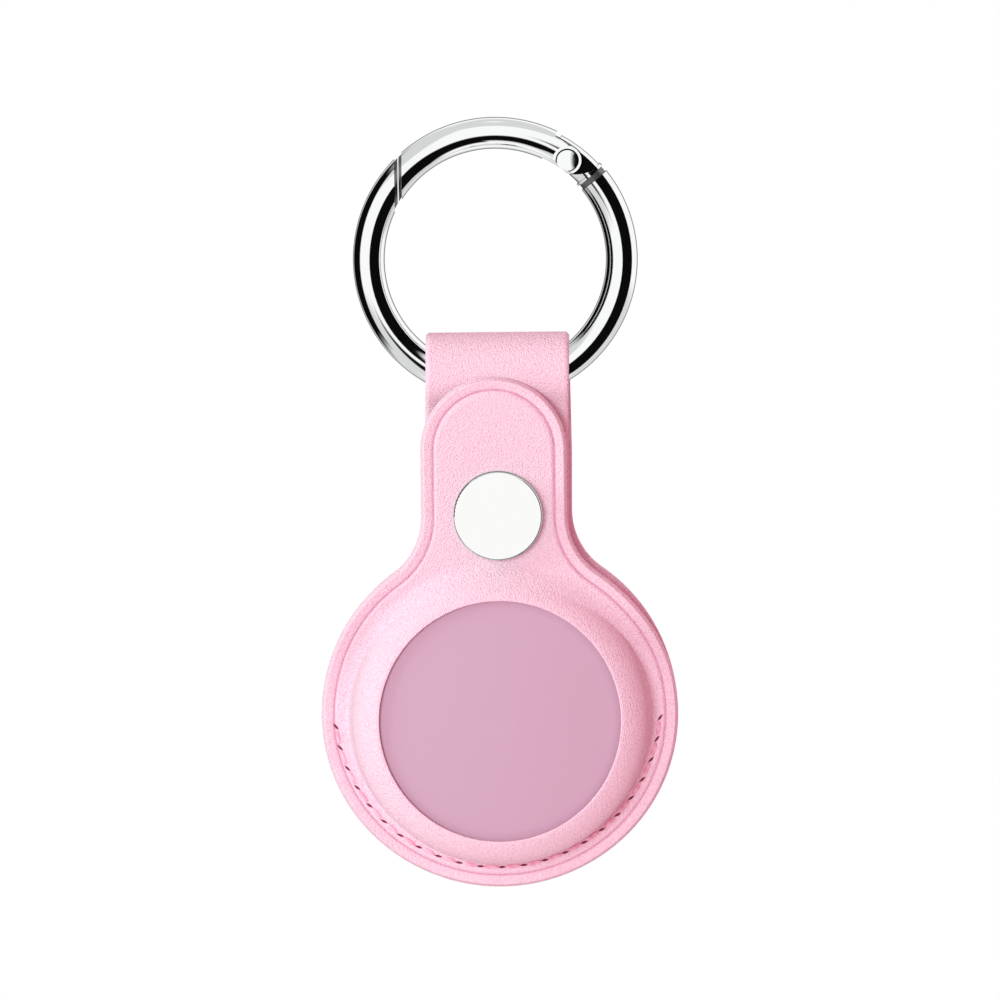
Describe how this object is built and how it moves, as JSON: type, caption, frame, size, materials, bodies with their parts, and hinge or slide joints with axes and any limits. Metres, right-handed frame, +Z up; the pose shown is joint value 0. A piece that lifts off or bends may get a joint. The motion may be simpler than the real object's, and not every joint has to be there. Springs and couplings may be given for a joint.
{
  "type": "tracker tag holder",
  "caption": "Keyhole-shaped leather pouch with a round window for a coin-shaped tracker tag, a snap-fastened flap and a strap folded over a spring-gate ring.",
  "frame": {"origin": "centre of the ring's eye, in the plane where the front and back panels meet", "axes": "+Z up from the pouch to the ring's top, +X to the right seen from the front, and the front, with the window, faces -Y"},
  "size_m": [0.0404, 0.0125, 0.0875],
  "materials": {
    "ring_chrome": "polished chrome on cast zinc",
    "spring_steel": "bright drawn wire",
    "pink_leather": "fine pebbled, satin",
    "pink_lining": "brushed microfibre",
    "pink_thread": "twisted polyester thread",
    "snap_nickel": "bright nickel plate",
    "tag_plastic": "satin moulded",
    "tag_steel": "polished stainless",
    "cell_steel": "nickel-plated steel",
    "board_laminate": "solder-masked glass laminate",
    "contact_brass": "gold-flashed spring bronze"
  },
  "bodies": {
    "ring": {"ring_body": "ring_chrome", "gate_pin": "ring_chrome"},
    "gate": {"ring_gate": "ring_chrome", "gate_spring": "spring_steel"},
    "plunger": {"gate_plunger": "spring_steel"},
    "holder": {"back_panel": "pink_leather", "back_lining": "pink_lining", "front_panel": "pink_leather", "front_lining": "pink_lining", "needle_thread": "pink_thread", "bobbin_thread": "pink_thread", "snap_stud": "snap_nickel", "snap_post": "snap_nickel", "tag_shell": "tag_plastic", "tag_cell": "cell_steel", "tag_board": "board_laminate", "tag_contacts": "contact_brass"},
    "flap": {"front_flap": "pink_leather", "flap_lining": "pink_lining", "snap_cap": "snap_nickel", "snap_socket": "snap_nickel", "snap_spring": "spring_steel"},
    "tag_cover": {"tag_cover": "tag_steel"}
  },
  "joints": [
    {"name": "gate_pivot", "type": "hinge", "parent": "ring", "child": "gate", "pos_m": [0.00823, 0, 0.0112], "axis": [0, -1, 0], "range_deg": [0, 40], "stiffness_Nm_per_rad": 0.02, "springref_deg": -28.65},
    {"name": "plunger_slide", "type": "slide", "parent": "gate", "child": "plunger", "axis": [-0.8059, 0, 0.592], "range_m": [0, 0.00036], "deforming": ["gate_spring"]},
    {"name": "holder_swing", "type": "hinge", "parent": "ring", "child": "holder", "pos_m": [0, 0, -0.01275], "axis": [1, 0, 0], "range_deg": [-90, 150]},
    {"name": "flap_bend", "type": "hinge", "parent": "holder", "child": "flap", "pos_m": [0, -0.00834, -0.0511], "axis": [1, 0, 0], "range_deg": [0, 45], "stiffness_Nm_per_rad": 0.002, "springref_deg": -20.05, "deforming": ["snap_spring"]},
    {"name": "cover_twist", "type": "hinge", "parent": "holder", "child": "tag_cover", "pos_m": [0, 0, -0.0517], "axis": [0, 1, 0], "range_deg": [0, 22]}
  ],
  "couplings": [
    {"joint": "plunger_slide", "follows": "gate_pivot", "m_per_rad": 0.0005}
  ]
}
